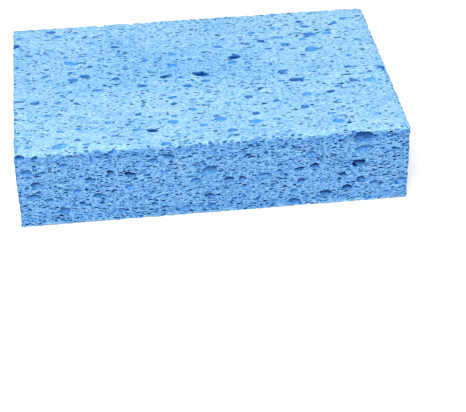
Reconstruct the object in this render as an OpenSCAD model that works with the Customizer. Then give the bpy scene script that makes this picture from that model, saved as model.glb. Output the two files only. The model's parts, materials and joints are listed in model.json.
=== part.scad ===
// Cleaning sponge: one rectangular block of cellulose foam, cut flat on all six sides.
// The cuts open bubbles of many sizes, drawn out along the length of the block.
// Origin at the middle of the base, X along the length, Y away from the front, Z up.

/* [Body] */
// Length of the block, along its front edge
body_w = 120; // [90:1:160]
// Depth of the block, from front to back
body_d = 80; // [60:1:110]
// Height of the block
body_h = 26; // [18:1:40]

/* [Large pores] */
// Size of the large pores, where 1 is as listed
large_size = 1; // [0.6:0.05:1.3]
// Depth of the large pores, where 1 is as listed
large_depth = 1; // [0.5:0.05:1.5]

/* [Small pores] */
// Mean distance between small pores on the top and the base
spacing_flat = 8; // [6:0.5:14]
// Mean distance between small pores on the four sides
spacing_side = 6.5; // [5:0.5:12]
// Length of the smallest pore
pore_min = 1.2; // [0.8:0.1:1.6]
// Length of the longest of the small pores
pore_max = 3.6; // [2:0.1:4.5]
// Depth of a small pore for each mm of its length
pore_depth = 0.45; // [0.3:0.05:0.7]

/* [Hidden] */

sponge_colour = [0.57, 0.80, 0.97];

// Width of a small pore for each mm of its length, least and most
slim = 0.42;
round_off = 0.75;
// How far a pore may turn away from the grain, in degrees
stray = 18;
// Most small pores are near the shortest length, and few are long
rare = 2.6;
// Solid foam kept between two pores
wall = 0.4;
// The middle of each face that the spread leaves whole, as a resting place
clear_spot = 3;
// Steps of the golden spread, which drops points evenly and never in rows
step_x = 0.7549;
step_y = 0.5698;
// How far a small pore drifts from its even place, for each mm of the spacing
drift = 0.22;

// Large pores of the top: percent from left, percent from front, length, width, depth
top_pores = [
    [50, 52, 4.5, 2.4, 2.6],
    [60, 64, 3.4, 2.0, 2.0],
    [75, 42, 4.5, 1.9, 1.8],
    [72, 49.5, 3.2, 1.7, 1.4],
    [82.5, 79, 5, 2.4, 1.2],
    [81.5, 66, 5.3, 2.9, 1.0],
    [82, 86, 3, 1.4, 1.4],
    [90, 87, 3.1, 1.3, 1.3],
    [75, 71.5, 3, 1.8, 1.1],
    [68.5, 76, 2.1, 1.4, 1.2],
    [35, 11.5, 3.1, 1.7, 1.8],
    [61.5, 12.5, 3.4, 2.1, 1.1],
    [82.5, 8.5, 3.4, 2.1, 1.1],
    [83, 31, 2.6, 1.5, 1.3],
    [76.5, 30, 2.6, 1.9, 0.8],
    [94.5, 38, 2.9, 2.1, 1.1],
    [90, 49.5, 2.3, 1.4, 1.0],
    [16, 54, 2.7, 2.1, 1.2],
    [11.5, 5, 4.2, 2.6, 1.1],
    [40.5, 52, 2.9, 1.6, 1.6],
    [46, 43, 2.9, 1.2, 1.2],
    [51, 46, 2.8, 1.2, 1.2],
    [15.5, 68, 4.2, 1.8, 0.8],
    [28, 79.5, 3, 1.4, 1.1],
    [41.5, 35, 2.5, 1.5, 1.2],
    [41.5, 30, 2, 1.3, 1.1],
    [32, 24, 2, 1.3, 1.0],
];

// Large pores of the front: percent from left, percent up, length, width, depth
front_pores = [
    [88, 91, 5.8, 3.4, 1.4],
    [88, 75, 4.7, 1.8, 1.0],
    [87, 55, 3.5, 2.2, 2.0],
    [75.5, 56, 2.2, 1.6, 1.4],
    [71.5, 53, 3.1, 1.2, 0.9],
    [48.5, 60, 4.6, 2.8, 1.5],
    [28.5, 63, 3, 1.8, 1.6],
    [23.5, 68, 1.9, 1.6, 1.3],
    [38.5, 84, 3.6, 1.5, 1.0],
    [34.5, 80, 1.9, 1.5, 1.1],
    [5, 58, 3.3, 2.1, 1.3],
    [4, 42, 3.7, 1.6, 1.3],
    [18.5, 60, 3, 1.2, 1.2],
    [11.5, 20, 3, 1.8, 0.9],
    [20.5, 37, 3.6, 1.5, 1.0],
    [16, 28, 1.9, 0.9, 0.9],
    [48.5, 25, 3.1, 1.5, 1.1],
    [53.5, 46.5, 2.6, 1.5, 1.3],
    [57, 45.5, 2.1, 1.5, 1.1],
    [62.5, 48, 4.4, 1.7, 1.1],
    [78.5, 16, 3.2, 1.9, 1.5],
    [87.5, 32, 2.5, 1.8, 1.2],
    [83, 40, 1.7, 1.4, 1.1],
    [72, 36, 2.2, 1.5, 1.1],
    [82.5, 8, 1.9, 1.7, 1.0],
    [98, 26, 3.2, 2.3, 1.2],
    [96.5, 71, 2.5, 1.2, 1.0],
    [1.5, 97, 2.4, 1.4, 1.2],
];

function frac(v) = v - floor(v);

// Middle of large pore p, in mm from the middle of a face
function large_at(p, wide, high) = [(p[0] / 100 - 0.5) * wide, (p[1] / 100 - 0.5) * high];

// Small pore i of a face: its middle and its length
function small_at(i, wide, high, spacing) = [
    (frac(0.5 + i * step_x) - 0.5) * wide + drift * spacing * sin(i * 97),
    (frac(0.5 + i * step_y) - 0.5) * high + drift * spacing * sin(i * 61),
];
function small_length(i) = pore_min + (pore_max - pore_min) * pow(frac(i * 0.618), rare);

// How far a pore is turned on its face: a little off the grain, its deep end either way
function turn_of(i) = stray * sin(i * 137) + (floor(i) % 2) * 180;

// A small pore is left out where it would run into a large one or the resting place
function is_free(at, length, large, wide, high) =
    norm(at) > clear_spot + length
    && min(concat([1000], [for (p = large)
        norm(at - large_at(p, wide, high)) - (p[2] * large_size + length) / 2])) > wall;

// One opened bubble on a face that looks up: an oval mouth over a round hole that runs in at
// a slant and narrows, so its deep end lies under the rim
module pore(length, width, depth) {
    tilt = acos(min(width / length, 0.95));
    run = depth / cos(tilt);
    taper = tan(min(20, (90 - tilt) / 3));
    r_mouth = width / 2;
    r_end = max(r_mouth - taper * run, width / 6);
    slope = (r_mouth - r_end) / run;
    proud = width + length;
    rotate([0, tilt, 0])
        translate([0, 0, -run])
            cylinder(h = run + proud, r1 = r_end, r2 = r_mouth + slope * proud, $fn = 16);
}

// All pores of one face that looks up, with its middle at the origin
module face_pores(wide, high, spacing, large, first) {
    for (p = large)
        translate(large_at(p, wide, high))
            rotate([0, 0, turn_of(p[0] + p[1])])
                pore(p[2] * large_size, p[3] * large_size, p[4] * large_depth);
    count = round(wide * high / (spacing * spacing));
    for (i = [first : first + count - 1]) {
        at = small_at(i, wide, high, spacing);
        length = small_length(i);
        width = length * (slim + (round_off - slim) * frac(i * 0.29));
        if (is_free(at, length, large, wide, high))
            translate(at)
                rotate([0, 0, turn_of(i)])
                    pore(length, width, length * pore_depth);
    }
}

// Sets a face's pores on an upright side, turned round the block by this many degrees
module on_side(turn, reach) {
    translate([0, 0, body_h / 2])
        rotate([90, 0, turn])
            translate([0, 0, reach])
                children();
}

module sponge() {
    color(sponge_colour)
        difference() {
            translate([-body_w / 2, -body_d / 2, 0])
                cube([body_w, body_d, body_h]);
            translate([0, 0, body_h])
                face_pores(body_w, body_d, spacing_flat, top_pores, 1);
            rotate([180, 0, 0])
                face_pores(body_w, body_d, spacing_flat, [], 301);
            on_side(0, body_d / 2)
                face_pores(body_w, body_h, spacing_side, front_pores, 701);
            on_side(180, body_d / 2)
                face_pores(body_w, body_h, spacing_side, [], 901);
            on_side(90, body_w / 2)
                face_pores(body_d, body_h, spacing_side, [], 1101);
            on_side(-90, body_w / 2)
                face_pores(body_d, body_h, spacing_side, [], 1301);
        }
}

sponge();
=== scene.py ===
import json
import math
import random

import bpy
from mathutils import Matrix, Vector, noise

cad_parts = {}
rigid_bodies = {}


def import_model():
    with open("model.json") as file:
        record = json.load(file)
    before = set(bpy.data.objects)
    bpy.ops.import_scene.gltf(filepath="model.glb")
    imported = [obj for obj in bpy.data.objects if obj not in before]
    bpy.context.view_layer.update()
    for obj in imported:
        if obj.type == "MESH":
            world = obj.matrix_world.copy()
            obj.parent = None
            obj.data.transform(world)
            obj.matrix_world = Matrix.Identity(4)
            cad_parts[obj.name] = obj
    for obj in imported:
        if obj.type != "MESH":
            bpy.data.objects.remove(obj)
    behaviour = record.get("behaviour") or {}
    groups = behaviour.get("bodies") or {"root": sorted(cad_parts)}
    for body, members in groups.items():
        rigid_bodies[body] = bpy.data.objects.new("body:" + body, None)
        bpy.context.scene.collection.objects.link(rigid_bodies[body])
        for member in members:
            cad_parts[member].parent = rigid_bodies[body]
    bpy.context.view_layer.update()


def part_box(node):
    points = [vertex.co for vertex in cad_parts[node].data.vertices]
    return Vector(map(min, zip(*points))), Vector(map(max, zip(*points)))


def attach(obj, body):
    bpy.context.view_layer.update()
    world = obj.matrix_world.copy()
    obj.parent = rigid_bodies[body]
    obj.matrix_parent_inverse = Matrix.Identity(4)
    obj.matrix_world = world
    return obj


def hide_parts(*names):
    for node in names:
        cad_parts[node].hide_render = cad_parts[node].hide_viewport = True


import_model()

mm = 0.001

# The camera looks down on the block from the front, a little to its left, through a long lens.
# It stands at the photograph's angle and distance, with the block high in the picture.
camera_turn = math.radians(-6.5)
camera_height = math.radians(34.6)
camera_roll = math.radians(-0.83)
camera_distance = 499.4 * mm
camera_right = 10.0 * mm
camera_up = -20.4 * mm
lens_mm = 116.5
sensor_mm = 36

back = Vector((
    math.sin(camera_turn) * math.cos(camera_height),
    -math.cos(camera_turn) * math.cos(camera_height),
    math.sin(camera_height),
))
level_right = (-back).cross(Vector((0, 0, 1))).normalized()
level_up = level_right.cross(-back)
right = math.cos(camera_roll) * level_right + math.sin(camera_roll) * level_up
up = math.cos(camera_roll) * level_up - math.sin(camera_roll) * level_right
camera_place = back * camera_distance + right * camera_right + up * camera_up

bpy.ops.object.select_all(action="DESELECT")
bpy.ops.object.camera_add(location=camera_place)
camera = bpy.context.object
camera.name = "camera"
camera.rotation_euler = Matrix((right, up, back)).transposed().to_euler()
camera.data.lens = lens_mm
camera.data.sensor_width = sensor_mm
camera.data.clip_start = 10 * mm
bpy.context.scene.camera = camera

# The sponge is one block of cellulose foam, sawn on all six sides from a larger loaf. The saw
# leaves broad faces that are flat but not true, and edges that are a little worn down.
low, high = (Vector(corner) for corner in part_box("sponge"))
size = high - low
middle = (low + high) / 2
half = size / 2

# How far the edges are rounded, in how many rows, and up to where a point belongs to the rounding
edge_round = 0.6 * mm
edge_rows = 2
rim_reach = edge_round * 1.01
# Side of the squares that each face is divided into
grid_step = 3.2 * mm
# The blade swayed slowly and chattered: length and depth of the waves that it left, in mm
sway_wave = 17
sway_depth = 0.14
chatter_wave = 5
chatter_depth = 0.12
# The right-hand corner at the back is knocked in: how far round it and how deep, in mm
knock_reach = 4
knock_depth = 0.45
# The edges are torn: the pieces that they are divided into, and how far these stray, in mm
tear_from = 1.5
tear_cuts = 2
tear_wave = 0.9
tear_depth = 0.55


def sawn_off(point):
    """How far the saw and wear have taken the skin down at this place of the block."""
    p = point / mm
    sway = 0.5 + 0.5 * noise.noise(p / sway_wave)
    chatter = 0.5 + 0.5 * noise.noise(p / chatter_wave + Vector((40, 0, 0)))
    knock = max(0, 1 - math.hypot(half.x / mm - p.x, half.y / mm - p.y) / knock_reach)
    return (sway_depth * sway + chatter_depth * chatter + knock_depth * knock**2) * mm


bpy.ops.object.select_all(action="DESELECT")
bpy.ops.mesh.primitive_cube_add(size=1, location=middle, scale=size)
sponge = bpy.context.object
sponge.name = "foam_block"
bpy.ops.object.transform_apply(location=True, rotation=True, scale=True)
bpy.ops.object.mode_set(mode="EDIT")
bpy.ops.mesh.select_all(action="SELECT")
bpy.ops.mesh.bevel(offset=edge_round, segments=edge_rows, affect="EDGES")
for axis in range(3):
    normal = Vector((0, 0, 0))
    normal[axis] = 1
    rows = round(size[axis] / grid_step)
    for row in range(1, rows):
        point = low + size * (row / rows)
        bpy.ops.mesh.select_all(action="SELECT")
        bpy.ops.mesh.bisect(plane_co=point, plane_no=normal)
bpy.ops.object.mode_set(mode="OBJECT")
sponge.data.uv_layers.remove(sponge.data.uv_layers[0])

# The edges are ragged: they are divided more finely, and their short pieces stray in and out
bpy.context.tool_settings.mesh_select_mode = (False, True, False)
for edge in sponge.data.edges:
    ends = [sponge.data.vertices[v].co for v in edge.vertices]
    edge.select = (ends[0] - ends[1]).length > tear_from * mm and all(
        sum(half[axis] - abs(middle[axis] - end[axis]) < rim_reach for axis in range(3)) > 1
        for end in ends
    )
bpy.ops.object.mode_set(mode="EDIT")
bpy.ops.mesh.subdivide(number_cuts=tear_cuts)
bpy.ops.object.mode_set(mode="OBJECT")
bpy.context.tool_settings.mesh_select_mode = (True, False, False)
for vertex in sponge.data.vertices:
    inward = middle - vertex.co
    rims = [1 - (half[axis] - abs(inward[axis])) / rim_reach for axis in range(3)]
    worn = sawn_off(vertex.co)
    if sum(rim > 0 for rim in rims) > 1:
        worn = max(0, worn + tear_depth * noise.noise(vertex.co / mm / tear_wave) * mm)
    for axis in range(3):
        vertex.co[axis] += math.copysign(worn * max(0, rims[axis]), inward[axis])

# The saw opened bubbles of every size, drawn out along the block, from the fine ones that
# make the whole skin rough to single ones of 5 mm. Each is a dented ball cut from the block.

# Faces of the block, as the part's source lays them out: middle, along, across, width, height
faces = {
    "top": (Vector((0, 0, high.z)), Vector((1, 0, 0)), Vector((0, 1, 0)), size.x, size.y),
    "base": (Vector((0, 0, low.z)), Vector((1, 0, 0)), Vector((0, -1, 0)), size.x, size.y),
    "front": (Vector((0, -half.y, middle.z)), Vector((1, 0, 0)), Vector((0, 0, 1)), size.x, size.z),
    "back": (Vector((0, half.y, middle.z)), Vector((-1, 0, 0)), Vector((0, 0, 1)), size.x, size.z),
    "right": (Vector((half.x, 0, middle.z)), Vector((0, 1, 0)), Vector((0, 0, 1)), size.y, size.z),
    "left": (Vector((-half.x, 0, middle.z)), Vector((0, -1, 0)), Vector((0, 0, 1)), size.y, size.z),
}

# The twelve worn edges are laid out the same way, each as a narrow strip that looks outwards
edges = {}
names = list(faces)
for i, first in enumerate(names):
    for second in names[i + 1:]:
        normals = [faces[face][1].cross(faces[face][2]) for face in (first, second)]
        along = normals[0].cross(normals[1])
        if along.length > 0.5:
            outward = normals[0] + normals[1]
            out = outward.normalized()
            centre = outward * half + middle
            centre -= out * edge_round * (math.sqrt(2) - 1)
            long_side = abs(along.dot(size))
            edges[first + "_" + second] = (centre, along, out.cross(along), long_side, edge_round)
faces.update(edges)

# Large pores, as in the part's source: percent along, percent across, length, width, depth.
# The last value is the scene's own: how much shade is painted into the pore, as it holds little
# light, from 0, pale, to 1, navy.
top_pores = [
    [50, 52, 4.5, 2.4, 2.6, 1.0],
    [60, 64, 3.4, 2.0, 2.0, 0.95],
    [75, 42, 4.5, 1.9, 1.8, 0.75],
    [72, 49.5, 3.2, 1.7, 1.4, 0.47],
    [82.5, 79, 5, 2.4, 1.2, 0.5],
    [81.5, 66, 5.3, 2.9, 1.0, 0.19],
    [82, 86, 3, 1.4, 1.4, 0.4],
    [90, 87, 3.1, 1.3, 1.3, 0.5],
    [75, 71.5, 3, 1.8, 1.1, 0.35],
    [68.5, 76, 2.1, 1.4, 1.2, 0.93],
    [35, 11.5, 3.1, 1.7, 1.8, 1.0],
    [61.5, 12.5, 3.4, 2.1, 1.1, 0.1],
    [82.5, 8.5, 3.4, 2.1, 1.1, 0.1],
    [83, 31, 2.6, 1.5, 1.3, 0.72],
    [76.5, 30, 2.6, 1.9, 0.8, 0.02],
    [94.5, 38, 2.9, 2.1, 1.1, 0.0],
    [90, 49.5, 2.3, 1.4, 1.0, 0.55],
    [16, 54, 2.7, 2.1, 1.2, 0.5],
    [11.5, 5, 4.2, 2.6, 1.1, 0.0],
    [40.5, 52, 2.9, 1.6, 1.6, 1.0],
    [46, 43, 2.9, 1.2, 1.2, 0.44],
    [51, 46, 2.8, 1.2, 1.2, 0.22],
    [15.5, 68, 4.2, 1.8, 0.8, 0.16],
    [28, 79.5, 3, 1.4, 1.1, 0.6],
    [41.5, 35, 2.5, 1.5, 1.2, 0.35],
    [41.5, 30, 2, 1.3, 1.1, 0.73],
    [32, 24, 2, 1.3, 1.0, 0.5],
]
front_pores = [
    [88, 91, 5.8, 3.4, 1.4, 0.65],
    [88, 75, 4.7, 1.8, 1.0, 0.3],
    [87, 55, 3.5, 2.2, 2.0, 0.85],
    [75.5, 56, 2.2, 1.6, 1.4, 1.0],
    [71.5, 53, 3.1, 1.2, 0.9, 0.8],
    [48.5, 60, 4.6, 2.8, 1.5, 0.3],
    [28.5, 63, 3, 1.8, 1.6, 0.8],
    [23.5, 68, 1.9, 1.6, 1.3, 0.8],
    [38.5, 84, 3.6, 1.5, 1.0, 0.5],
    [34.5, 80, 1.9, 1.5, 1.1, 0.3],
    [5, 58, 3.3, 2.1, 1.3, 0.4],
    [4, 42, 3.7, 1.6, 1.3, 0.35],
    [18.5, 60, 3, 1.2, 1.2, 0.6],
    [11.5, 20, 3, 1.8, 0.9, 0.4],
    [20.5, 37, 3.6, 1.5, 1.0, 0.45],
    [16, 28, 1.9, 0.9, 0.9, 1.0],
    [48.5, 25, 3.1, 1.5, 1.1, 0.55],
    [53.5, 46.5, 2.6, 1.5, 1.3, 0.65],
    [57, 45.5, 2.1, 1.5, 1.1, 0.5],
    [62.5, 48, 4.4, 1.7, 1.1, 0.25],
    [78.5, 16, 3.2, 1.9, 1.5, 0.65],
    [87.5, 32, 2.5, 1.8, 1.2, 0.55],
    [83, 40, 1.7, 1.4, 1.1, 0.75],
    [72, 36, 2.2, 1.5, 1.1, 0.6],
    [82.5, 8, 1.9, 1.7, 1.0, 0.1],
    [98, 26, 3.2, 2.3, 1.2, 0.1],
    [96.5, 71, 2.5, 1.2, 1.0, 0.5],
    [1.5, 97, 2.4, 1.4, 1.2, 1.0],
]
large_pores = {"top": top_pores, "front": front_pores}

# Small pores, by the rule and with the values of the part's source, where each is explained. For
# each face, the spacing in mm and the number of its first pore.
spread = {
    "top": (8, 1),
    "base": (8, 301),
    "front": (6.5, 701),
    "back": (6.5, 901),
    "right": (6.5, 1101),
    "left": (6.5, 1301),
}
pore_min = 1.2
pore_max = 3.6
pore_depth = 0.45
slim = 0.42
round_off = 0.75
stray = 18
rare = 2.6
wall = 0.4
clear_spot = 3
step_x = 0.7549
step_y = 0.5698
drift = 0.22
# Small pores longer than this, in mm, are cut with the middle one of the three balls
middling_from = 1.8
# How much shade is painted into the darkest of them, and how rare the dark ones are
small_dark = 0.9
small_dark_rare = 1.7

# Fine pores lie between them at random, closer together on the four sides: spacing in mm
fine_spacing = {"top": 3.0, "base": 4.8, "front": 2.1, "back": 2.7, "right": 2.4, "left": 2.4}
# Along the edges they are bites: spacing in mm, closer on the top's edges other than the front one
bite_spacing = 5
top_bite_spacing = 2.4
fine_min = 0.6
fine_max = 1.8
fine_turn = 14
# By kind of face: how rare long ones are, greatest width to length, depth to width, and how much
# shade is painted in
fine_kinds = {
    "flat": (2.2, 0.75, 1.2, 0.75),
    "side": (2.2, 0.75, 0.95, 0.75),
    "edge": (1.3, 0.9, 1.2, 0.4),
}


def sin_degrees(angle):
    return math.sin(math.radians(angle))


def turn_of(number):
    return stray * sin_degrees(number * 137) + (math.floor(number) % 2) * 180


# Every pore: its face, its place on it, turn, length, width, depth, how much shade is painted into
# it and how finely it is made, from 1 to 3
draw = random.Random(7)
pores = []
for face, (_, _, _, wide, tall) in faces.items():
    wide /= mm
    tall /= mm
    large = []
    for p in large_pores.get(face, []):
        x = (p[0] / 100 - 0.5) * wide
        y = (p[1] / 100 - 0.5) * tall
        large.append((face, x, y, turn_of(p[0] + p[1]), p[2], p[3], p[4], p[5], 3))
    pores += large
    spacing, first = spread.get(face, (math.inf, 0))
    for i in range(first, first + int(wide * tall / spacing**2 + 0.5)):
        x = ((0.5 + i * step_x) % 1 - 0.5) * wide + drift * spacing * sin_degrees(i * 97)
        y = ((0.5 + i * step_y) % 1 - 0.5) * tall + drift * spacing * sin_degrees(i * 61)
        length = pore_min + (pore_max - pore_min) * (i * 0.618 % 1) ** rare
        width = length * (slim + (round_off - slim) * (i * 0.29 % 1))
        gaps = [math.hypot(x - p[1], y - p[2]) - (p[4] + length) / 2 for p in large]
        if math.hypot(x, y) > clear_spot + length and min(gaps, default=wall + 1) > wall:
            fineness = 2 if length > middling_from else 1
            depth = length * pore_depth
            dark = small_dark * draw.random() ** small_dark_rare
            pores.append((face, x, y, turn_of(i), length, width, depth, dark, fineness))
    if face in edges:
        kind = "edge"
        fine = wide / (top_bite_spacing if "top" in face and "front" not in face else bite_spacing)
    else:
        kind = "flat" if face in ("top", "base") else "side"
        fine = wide * tall / fine_spacing[face] ** 2
    long_rare, widest, deepest, darkest = fine_kinds[kind]
    for _ in range(int(fine)):
        x = (draw.random() - 0.5) * wide
        y = (draw.random() - 0.5) * tall
        length = fine_min + (fine_max - fine_min) * draw.random() ** long_rare
        width = length * draw.uniform(0.4, widest)
        depth = width * draw.uniform(0.35, deepest)
        turn = draw.gauss(0, fine_turn) + draw.choice((0, 180))
        dark = min(max((depth / width - 0.4) / 0.7, 0), 1) * darkest
        pores.append((face, x, y, turn, length, width, depth, dark, 1))

# One ball is modelled in each of three finenesses, and each pore is a dented copy of one
balls = {}
for fineness in (1, 2, 3):
    bpy.ops.object.select_all(action="DESELECT")
    bpy.ops.mesh.primitive_ico_sphere_add(subdivisions=fineness, radius=1)
    ball = bpy.context.object
    corners = [vertex.co.copy() for vertex in ball.data.vertices]
    sides = [tuple(side.vertices) for side in ball.data.polygons]
    balls[fineness] = (corners, sides)
    bpy.data.objects.remove(ball)

# How far a ball of each fineness reaches, along and across, for each mm of the pore's mouth
ball_reach = {1: (0.53, 0.56), 2: (0.53, 0.56), 3: (0.64, 0.6)}
# Its middle lies this share of the depth under the skin, and it leans over by some degrees
sunk = 0.12
lean_least = 4
lean_most = 22
# It has broad dents and narrow ones, each by a share of its radius
broad_dent = 0.24
narrow_dent = 0.15

# Pores that meet are cut in turns, because a cutting mesh may not run through itself. A ball's
# neighbours are looked up in cells of this size.
turns = []
cell = 6 * mm
for face, x, y, turn, length, width, depth, dark, fineness in pores:
    centre, along, across, _, _ = faces[face]
    out = along.cross(across)
    to_face = Matrix((along, across, out)).transposed()
    spot = centre + (along * x + across * y) * mm
    sink = sunk * depth
    spot -= out * (sawn_off(spot) + sink * mm)
    lean = math.radians(draw.uniform(lean_least, lean_most))
    spin = Matrix.Rotation(math.radians(turn), 3, "Z") @ Matrix.Rotation(lean, 3, "Y")
    reach_along = length * ball_reach[fineness][0]
    reach_across = width * ball_reach[fineness][1]
    shape = to_face @ spin @ Matrix.Diagonal((reach_along, reach_across, depth - sink)) * mm
    seed = Vector((draw.random(), draw.random(), draw.random())) * 50
    corners, sides = balls[fineness]
    # Shade is painted into each pore's colour, stronger the deeper a point lies and on upright
    # sides.
    # Light comes from above, so on an upright side the painted shade is darkest under the pore's
    # brow.
    upright = max(0, across.z)
    strength = min(1, dark * (1 + 0.3 * upright))
    placed = []
    below = []
    gloom = []
    for corner in corners:
        broad = broad_dent * noise.noise(corner * 1.1 + seed)
        narrow = narrow_dent * noise.noise(corner * 2.7 - seed)
        moved = shape @ (corner * (1 + broad + narrow))
        placed.append(spot + moved)
        down = sink - moved.dot(out) / mm
        below.append(down)
        rise = moved.dot(across) / (reach_across * mm)
        shade = 0.95 + 0.1 * upright + (0.35 + 0.35 * upright) * rise
        gloom.append(strength * min(max(down / depth * 3, 0), 1) * min(max(shade, 0), 1))
    reach = max((corner - spot).length for corner in placed)
    key = [int(c // cell) for c in spot]
    near = [
        (key[0] + i, key[1] + j, key[2] + k)
        for i in (-1, 0, 1)
        for j in (-1, 0, 1)
        for k in (-1, 0, 1)
    ]
    for batch in turns:
        others = [other for n in near for other in batch["cells"].get(n, ())]
        if all((spot - other).length > reach + far for other, far in others):
            break
    else:
        batch = {"cells": {}, "corners": [], "sides": [], "below": [], "gloom": []}
        turns.append(batch)
    batch["cells"].setdefault(tuple(key), []).append((spot, reach))
    start = len(batch["corners"])
    batch["corners"] += placed
    batch["sides"] += [tuple(start + i for i in side) for side in sides]
    batch["below"] += below
    batch["gloom"] += gloom

# Below is how deep a point of the lining lies, and the painted shade how little light it gets
skin = bpy.data.materials.new("sawn_foam")
lining = bpy.data.materials.new("bubble_lining")
sponge.data.materials.append(skin)
sponge.data.materials.append(lining)
for name in ("below", "gloom"):
    sponge.data.attributes.new(name, "FLOAT", "CORNER")

for batch in turns:
    mesh = bpy.data.meshes.new("bubbles")
    mesh.from_pydata(batch["corners"], [], batch["sides"])
    mesh.materials.append(skin)
    mesh.materials.append(lining)
    for side in mesh.polygons:
        side.material_index = 1
    for name in ("below", "gloom"):
        kept = mesh.attributes.new(name, "FLOAT", "CORNER")
        for loop in mesh.loops:
            kept.data[loop.index].value = batch[name][loop.vertex_index]
    bubbles = bpy.data.objects.new("bubbles", mesh)
    bpy.context.collection.objects.link(bubbles)
    bpy.ops.object.select_all(action="DESELECT")
    sponge.select_set(True)
    bpy.context.view_layer.objects.active = sponge
    cut = sponge.modifiers.new("cut", "BOOLEAN")
    cut.operation = "DIFFERENCE"
    cut.solver = "MANIFOLD"
    cut.object = bubbles
    bpy.ops.object.modifier_apply(modifier=cut.name)
    bpy.data.objects.remove(bubbles)

# The lining is smooth, and the rim of every pore is a clean cut
bpy.ops.object.shade_smooth_by_angle(angle=math.radians(50))
first_side = {}
for side in sponge.data.polygons:
    for loop in side.loop_indices:
        edge = sponge.data.loops[loop].edge_index
        if first_side.setdefault(edge, side.material_index) != side.material_index:
            sponge.data.edges[edge].use_edge_sharp = True

# Crumbs that the cuts have left loose are brushed off
bpy.ops.object.mode_set(mode="EDIT")
bpy.ops.mesh.select_all(action="DESELECT")
bpy.ops.object.mode_set(mode="OBJECT")
corner = min(sponge.data.vertices, key=lambda vertex: (vertex.co - low).length)
corner.select = True
bpy.ops.object.mode_set(mode="EDIT")
bpy.ops.mesh.select_linked()
bpy.ops.mesh.select_all(action="INVERT")
bpy.ops.mesh.delete(type="VERT")
bpy.ops.object.mode_set(mode="OBJECT")

# The map of the skin lays the six sides out flat beside each other. The walls of a pore are
# drawn in towards its middle the deeper they lie, so that steep ones keep some width.

# Each side's corner on the sheet, in mm, and whether it is turned a quarter there
sheet = {
    "top": (2, 2, False),
    "base": (2, 84, False),
    "front": (124, 2, True),
    "back": (152, 2, True),
    "right": (2, 166, False),
    "left": (84, 166, False),
}
sheet_size = 194
wall_share = 0.45
pairs = (("left", "right"), ("front", "back"), ("base", "top"))
pull = [Vector((0, 0, 0)) for _ in sponge.data.vertices]
for side in sponge.data.polygons:
    if side.material_index == 1:
        for v in side.vertices:
            pull[v] += side.normal * side.area
chart = sponge.data.uv_layers.new(name="OFBake")
below = sponge.data.attributes["below"]
for side in sponge.data.polygons:
    inward = side.center - middle
    gaps = [half[axis] - abs(inward[axis]) for axis in range(3)]
    axis = gaps.index(min(gaps))
    face = pairs[axis][inward[axis] > 0]
    centre, along, across, wide, tall = faces[face]
    corner_x, corner_y, turned = sheet[face]
    for loop in side.loop_indices:
        v = sponge.data.loops[loop].vertex_index
        point = sponge.data.vertices[v].co - centre
        if side.material_index == 1 and pull[v].length > 0:
            point += pull[v].normalized() * max(0, below.data[loop].value) * wall_share * mm
        a = (point.dot(along) + wide / 2) / mm
        b = (point.dot(across) + tall / 2) / mm
        if turned:
            a, b = tall / mm - b, a
        chart.data[loop].uv = ((corner_x + a) / sheet_size, (corner_y + b) / sheet_size)

# Cellulose foam is matt. Its sawn face is a pale felt of torn cell walls, full of pores too
# small to model, more of them on the four sides, where felt and lining are also darker as painted
# shade. The bubbles have a smoother, bluer lining, and the steep ones hold so little light that they
# look navy; this shade is painted into their colour.
# Painted shade of the finest bubbles, on the flat faces and, darker, on the four sides
deep_pit_shade = (0.002, 0.05, 0.24, 1)
side_deep_pit_shade = (0.001, 0.03, 0.17, 1)
# The bubbles' mid blue is partly the bluer colour of a lining and partly painted shade
mid_blue = (0.12, 0.40, 0.86, 1)
side_mid_shaded = (0.04, 0.21, 0.60, 1)
# Painted highlight on a bubble's lower lip, where light from above falls
painted_lip_highlight = (0.36, 0.67, 0.97, 1)
# Painted shade of the modelled pores, on the flat faces and, darker, on the four sides
painted_shade_navy = (0.003, 0.065, 0.37, 1)
side_painted_shade_navy = (0.004, 0.055, 0.28, 1)
# Where on the scale of the felt its four colours lie, from dark gaps to pale fibres
felt_stops = (0.27, 0.44, 0.54, 0.69)


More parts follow.
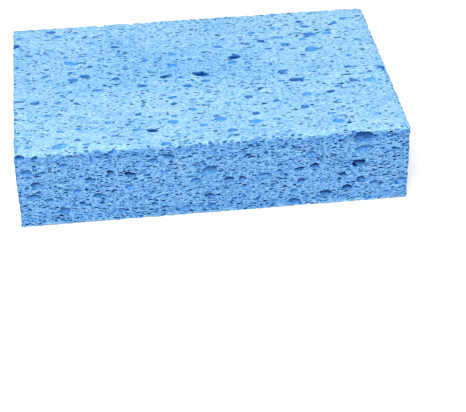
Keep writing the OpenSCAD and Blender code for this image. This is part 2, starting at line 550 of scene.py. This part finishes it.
def finish(material, flat_felt, side_felt_shaded, openness, felt_height):
    """The foam's colour and relief: felt colours of the flat faces and of the four sides (darker
    there, partly as painted shade), how full of the finest bubbles it is, and how high its felt
    stands."""
    material.use_nodes = True
    tree = material.node_tree
    tree.nodes.clear()
    link = tree.links.new

    def add(kind, **settings):
        node = tree.nodes.new(kind)
        for name, value in settings.items():
            setattr(node, name, value)
        return node

    def join(sockets, entries):
        for socket, entry in zip(sockets, entries):
            if isinstance(entry, (int, float, tuple)):
                socket.default_value = entry
            else:
                link(entry, socket)

    def reckon(operation, *entries):
        node = add("ShaderNodeMath", operation=operation)
        join(node.inputs, entries)
        return node.outputs[0]

    def blend(amount, first, second):
        node = add("ShaderNodeMix", data_type="RGBA")
        join((node.inputs[0], node.inputs[6], node.inputs[7]), (amount, first, second))
        return node.outputs[2]

    def ramp(value, start, end, at_start=0.0, at_end=1.0):
        """A smooth step from one level to another while the value goes from start to end."""
        node = add("ShaderNodeMapRange", interpolation_type="SMOOTHSTEP")
        join(node.inputs, (value, start, end, at_start, at_end))
        return node.outputs[0]

    def shades(value, colours):
        """Runs through the colours of the felt, from its dark gaps to its palest fibres."""
        node = add("ShaderNodeValToRGB")
        stops = node.color_ramp.elements
        stops[0].position, stops[1].position = felt_stops[0], felt_stops[-1]
        for position in felt_stops[1:-1]:
            stops.new(position)
        for stop, colour in zip(stops, colours):
            stop.color = (*colour, 1)
        link(value, node.inputs[0])
        return node.outputs[0]

    def grain(length, width, height, source=None):
        """Coordinates whose unit is so many mm, shifted so that no seam runs through the middle."""
        units = (length, width, height)
        node = add("ShaderNodeMapping")
        node.inputs["Scale"].default_value = [1 / (unit * mm) for unit in units]
        node.inputs["Location"].default_value = [int(unit * 17) + 0.15 for unit in units]
        link(source or place, node.inputs["Vector"])
        return node.outputs[0]

    def mottle(vector, detail, roughness=0.5):
        node = add("ShaderNodeTexNoise")
        node.inputs["Scale"].default_value = 1
        node.inputs["Detail"].default_value = detail
        node.inputs["Roughness"].default_value = roughness
        link(vector, node.inputs["Vector"])
        return node

    def bubbles(length, width, height, share, soft):
        """The finest bubbles, one in a share of the cells: how scooped, how much shade is painted
        into them, and the painted highlight on their lower lip.
        """
        vector = grain(length, width, height, spread_out)
        warp = mottle(grain(length, width, height), 1)
        shift = add("ShaderNodeVectorMath", operation="MULTIPLY_ADD")
        join(shift.inputs, (warp.outputs["Color"], (0.7, 0.7, 0.7), vector))
        cells = add("ShaderNodeTexVoronoi", feature="F1")
        cells.inputs["Scale"].default_value = 1
        link(shift.outputs[0], cells.inputs["Vector"])
        chance = add("ShaderNodeSeparateColor")
        link(cells.outputs["Color"], chance.inputs[0])
        rest = reckon("SUBTRACT", 1.0, share)
        grown = ramp(chance.outputs[0], rest, reckon("MULTIPLY_ADD", share, 0.6, rest))
        radius = reckon("MULTIPLY", grown, 0.5)
        core = reckon("SUBTRACT", radius, soft)
        mask = ramp(cells.outputs["Distance"], core, radius, 1.0, 0.0)
        scoop = ramp(cells.outputs["Distance"], -0.1, radius, 1.0, 0.0)
        off_middle = add("ShaderNodeVectorMath", operation="SUBTRACT")
        join(off_middle.inputs, (shift.outputs[0], cells.outputs["Position"]))
        rise = add("ShaderNodeSeparateXYZ")
        link(off_middle.outputs[0], rise.inputs[0])
        level = reckon("DIVIDE", rise.outputs[2], reckon("MAXIMUM", radius, 0.05))
        # On the sides the painted shade of a bubble is darkest under its brow, and its lower lip
        # gets a painted highlight
        overhung = ramp(level, -0.5, 0.3, reckon("SUBTRACT", 1.0, on_side), 1.0)
        lip_highlight = reckon("MULTIPLY", mask, ramp(level, -0.2, -0.8))
        least = reckon("MULTIPLY_ADD", on_side, 0.5, 0.45)
        dark = reckon("MULTIPLY", overhung, ramp(chance.outputs[1], 0.0, 1.0, least, 1.0))
        return scoop, reckon("MULTIPLY", mask, dark), lip_highlight

    place = add("ShaderNodeTexCoord").outputs["Object"]

    # On a side or not: the way in from top or base, less the way in from the nearest side, in mm
    centred = add("ShaderNodeVectorMath", operation="SUBTRACT")
    join(centred.inputs, (place, tuple(middle)))
    away = add("ShaderNodeVectorMath", operation="ABSOLUTE")
    link(centred.outputs[0], away.inputs[0])
    scaled = add("ShaderNodeVectorMath", operation="SCALE")
    link(away.outputs[0], scaled.inputs[0])
    scaled.inputs["Scale"].default_value = 1 / mm
    gap = add("ShaderNodeVectorMath", operation="SUBTRACT")
    join(gap.inputs, (tuple(half / mm), scaled.outputs[0]))
    gaps = add("ShaderNodeSeparateXYZ")
    link(gap.outputs[0], gaps.inputs[0])
    sideways = reckon("MINIMUM", gaps.outputs[0], gaps.outputs[1])
    lead = reckon("SUBTRACT", gaps.outputs[2], sideways)
    wander = mottle(grain(5, 3, 3), 2).outputs["Fac"]
    lead = reckon("ADD", lead, reckon("MULTIPLY_ADD", wander, 2.0, -1.0))
    on_side = ramp(lead, -0.1, 1.3)

    # Coordinates without the way in from the nearest face, so that a bubble is cut at its widest
    nearest = reckon("ADD", reckon("MINIMUM", sideways, gaps.outputs[2]), 0.01)
    kept = add("ShaderNodeCombineXYZ")
    join(kept.inputs, [reckon("GREATER_THAN", gap_in, nearest) for gap_in in gaps.outputs])
    upright = reckon("GREATER_THAN", gaps.outputs[2], nearest)
    drawn = add("ShaderNodeCombineXYZ")
    drawn_along = reckon("MULTIPLY_ADD", upright, 0.25, 0.75)
    drawn_across = reckon("MULTIPLY_ADD", upright, -0.2, 1.2)
    join(drawn.inputs, (drawn_along, drawn_across, 1.0))
    stretched = add("ShaderNodeVectorMath", operation="MULTIPLY")
    join(stretched.inputs, (place, drawn.outputs[0]))
    stretched = stretched.outputs[0]
    spread_out = add("ShaderNodeVectorMath", operation="MULTIPLY")
    join(spread_out.inputs, (stretched, kept.outputs[0]))
    spread_out = spread_out.outputs[0]

    # The foam is uneven: broad clouds all over it, and denser and bluer towards one place
    clouds = ramp(mottle(grain(24, 16, 12), 2).outputs["Fac"], 0.38, 0.66)
    from_dense = add("ShaderNodeMapping")
    from_dense.inputs["Location"].default_value = (0.2, -0.45, 0)
    from_dense.inputs["Scale"].default_value = (1 / (50 * mm), 1 / (27 * mm), 0)
    link(place, from_dense.inputs["Vector"])
    distance = add("ShaderNodeVectorMath", operation="LENGTH")
    link(from_dense.outputs[0], distance.inputs[0])
    dense = ramp(distance.outputs["Value"], 1.3, 0.2)

    # Felt and dust are the torn cell walls, and the finest bubbles lie among them
    flecks = mottle(grain(4.5, 3, 2.4), 3, 0.6).outputs["Fac"]
    felt = mottle(grain(0.95, 0.7, 0.32, stretched), 2, 0.6).outputs["Fac"]
    dust = mottle(grain(0.55, 0.5, 0.22, stretched), 1, 0.6).outputs["Fac"]
    share = ramp(on_side, 0.0, 1.0, 0.105 * openness, 0.34 * openness)
    wide_scoop, wide_dark, wide_lip_highlight = bubbles(5, 3.2, 2.6, share, 0.15)
    long_scoop, long_dark, long_lip_highlight = bubbles(2.1, 1.4, 1.0, share, 0.1)
    short_scoop, short_dark, short_lip_highlight = bubbles(1.4, 1.1, 0.85, share, 0.12)
    tiny_scoop, tiny_dark, _ = bubbles(0.9, 0.8, 0.6, share, 0.14)

    # The colour of the felt, bluer where it is dense, and darker in a band on the sides just under
    # the top and above the base edges
    fibres = reckon("MULTIPLY_ADD", dust, 0.5, reckon("MULTIPLY", felt, 0.6))
    fibres = reckon("SUBTRACT", fibres, 0.55)
    fibres = reckon("MULTIPLY_ADD", fibres, ramp(on_side, 0.0, 1.0, 1.0, 1.55), 0.5)
    cloudy = reckon("MULTIPLY", reckon("SUBTRACT", flecks, 0.5), ramp(on_side, 0.0, 1.0, 0.27, 0.06))
    fibres = reckon("ADD", fibres, cloudy)
    fibres = reckon("MULTIPLY_ADD", clouds, ramp(on_side, 0.0, 1.0, -0.045, -0.01), fibres)
    fibres = reckon("MULTIPLY_ADD", dense, ramp(on_side, 0.0, 1.0, -0.05, -0.01), fibres)
    under_edge_band = reckon("MULTIPLY", ramp(lead, 0.6, 1.6), ramp(lead, 5.0, 2.2))
    fibres = reckon("MULTIPLY_ADD", under_edge_band, -0.05, fibres)
    colour = blend(on_side, shades(fibres, flat_felt), shades(fibres, side_felt_shaded))

    # Over it the bubbles, through a mid blue to a deep painted shade, with painted highlights on
    # their lower lips, and then the painted shade of the modelled pores
    pit_mid = blend(on_side, mid_blue, side_mid_shaded)
    wide_dark = reckon("MULTIPLY", wide_dark, ramp(on_side, 0.0, 1.0, 0.35, 0.15))
    colour = blend(wide_dark, colour, pit_mid)
    pit_shade = blend(on_side, deep_pit_shade, side_deep_pit_shade)
    long_dark = reckon("MULTIPLY", long_dark, ramp(on_side, 0.0, 1.0, 0.65, 0.85))
    darkest = reckon("MAXIMUM", reckon("MAXIMUM", long_dark, short_dark), tiny_dark)
    colour = blend(ramp(darkest, 0.0, 0.5), colour, pit_mid)
    colour = blend(ramp(darkest, 0.25, 0.95), colour, pit_shade)
    lip_highlight = reckon("MAXIMUM", reckon("MAXIMUM", wide_lip_highlight, long_lip_highlight), short_lip_highlight)
    colour = blend(reckon("MULTIPLY", lip_highlight, reckon("MULTIPLY", on_side, 0.5)), colour, painted_lip_highlight)
    # The modelled pores' painted shade, read from the mesh, turns the colour navy where it is
    # strongest
    gloom = add("ShaderNodeAttribute", attribute_name="gloom").outputs["Fac"]
    colour = blend(gloom, colour, blend(on_side, painted_shade_navy, side_painted_shade_navy))

    # The felt stands up a little, and the bubbles are scooped out of it
    nap = reckon("MULTIPLY_ADD", dust, 0.6, felt)
    nap = reckon("MULTIPLY", nap, ramp(on_side, 0.0, 1.0, 0.42 * felt_height, 0.4 * felt_height))
    pits = reckon("MULTIPLY", wide_scoop, 0.35)
    pits = reckon("MULTIPLY_ADD", long_scoop, 0.3, pits)
    pits = reckon("MULTIPLY_ADD", short_scoop, 0.25, pits)
    pits = reckon("MULTIPLY_ADD", tiny_scoop, 0.15, pits)
    pits = reckon("MULTIPLY", pits, ramp(on_side, 0.0, 1.0, 0.5, 1.6))
    bump = add("ShaderNodeBump")
    bump.inputs["Strength"].default_value = 1
    bump.inputs["Distance"].default_value = mm
    link(reckon("SUBTRACT", nap, pits), bump.inputs["Height"])

    foam = add("ShaderNodeBsdfPrincipled")
    foam.inputs["Specular IOR Level"].default_value = 0.0
    link(colour, foam.inputs["Base Color"])
    link(ramp(felt, 0.3, 0.7, 0.97, 0.88), foam.inputs["Roughness"])
    link(bump.outputs[0], foam.inputs["Normal"])
    link(foam.outputs[0], add("ShaderNodeOutputMaterial").inputs["Surface"])


# The four sides' felt and lining are darker than the flat faces': partly their own deeper colour,
# partly painted shade
sawn_flat = ((0.10, 0.37, 0.86), (0.30, 0.63, 0.99), (0.43, 0.77, 1.0), (0.64, 0.90, 1.0))
sawn_side_shaded = ((0.03, 0.175, 0.53), (0.145, 0.395, 0.80), (0.22, 0.52, 0.90), (0.39, 0.68, 0.97))
lining_flat = ((0.07, 0.34, 0.80), (0.11, 0.42, 0.88), (0.16, 0.49, 0.94), (0.26, 0.60, 0.98))
lining_side_shaded = ((0.05, 0.25, 0.64), (0.11, 0.37, 0.77), (0.16, 0.45, 0.85), (0.25, 0.56, 0.92))
finish(skin, sawn_flat, sawn_side_shaded, 1.0, 0.6)
finish(lining, lining_flat, lining_side_shaded, 0.15, 0.2)

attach(sponge, "root")
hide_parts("sponge")

# The block stands on a plain pale floor that runs out of the picture. It keeps the soft shadow
# of the block, and the rest of it comes out white.
floor_side = 3
floor_grey = (0.75, 0.75, 0.75, 1)
floor_glow = 0.4


def seen_or_lit(tree, lit, seen):
    """One level for the rays that light the block, and one for those that show this to the eye."""
    paths = tree.nodes.new("ShaderNodeLightPath")
    shown = paths.outputs["Is Camera Ray"]
    for ray in ("Is Glossy Ray", "Is Transmission Ray"):
        either = tree.nodes.new("ShaderNodeMath")
        either.operation = "MAXIMUM"
        tree.links.new(shown, either.inputs[0])
        tree.links.new(paths.outputs[ray], either.inputs[1])
        shown = either.outputs[0]
    level = tree.nodes.new("ShaderNodeMapRange")
    level.inputs["To Min"].default_value = lit
    level.inputs["To Max"].default_value = seen
    tree.links.new(shown, level.inputs["Value"])
    return level.outputs[0]


bpy.ops.object.select_all(action="DESELECT")
bpy.ops.mesh.primitive_plane_add(size=floor_side, location=(0, 0, low.z))
floor = bpy.context.object
floor.name = "floor"
floor_paint = bpy.data.materials.new("floor_paint")
floor_paint.use_nodes = True
tree = floor_paint.node_tree
tree.nodes.clear()
matt = tree.nodes.new("ShaderNodeBsdfDiffuse")
matt.inputs["Color"].default_value = floor_grey
glow = tree.nodes.new("ShaderNodeEmission")
glow.inputs["Color"].default_value = (1, 1, 1, 1)
tree.links.new(seen_or_lit(tree, 0.0, floor_glow), glow.inputs["Strength"])
both = tree.nodes.new("ShaderNodeAddShader")
tree.links.new(matt.outputs[0], both.inputs[0])
tree.links.new(glow.outputs[0], both.inputs[1])
paint_out = tree.nodes.new("ShaderNodeOutputMaterial")
tree.links.new(both.outputs[0], paint_out.inputs["Surface"])
floor.data.materials.append(floor_paint)

# The light is a white tent with a large soft lamp over the block, so that shadows are faint. The
# lamp hangs in front of it, a little to the left.
tent_light = 0.5
tent_seen = 1.0
lamp_side = 0.7
lamp_watts = 27.5
lamp_place = (-0.3, -1.08, 1.44)

world = bpy.data.worlds.new("white_tent")
bpy.context.scene.world = world
world.use_nodes = True
tree = world.node_tree
tree.nodes.clear()
tent = tree.nodes.new("ShaderNodeBackground")
tree.links.new(seen_or_lit(tree, tent_light, tent_seen), tent.inputs["Strength"])
tent_out = tree.nodes.new("ShaderNodeOutputWorld")
tree.links.new(tent.outputs[0], tent_out.inputs["Surface"])

bpy.ops.object.select_all(action="DESELECT")
bpy.ops.object.light_add(type="AREA", location=lamp_place)
lamp = bpy.context.object
lamp.name = "soft_lamp"
lamp.data.shape = "SQUARE"
lamp.data.size = lamp_side
lamp.data.energy = lamp_watts
lamp.rotation_euler = (Vector((0, 0, 0)) - lamp.location).to_track_quat("-Z", "Y").to_euler()

view = bpy.context.scene.view_settings
view.view_transform = "Standard"
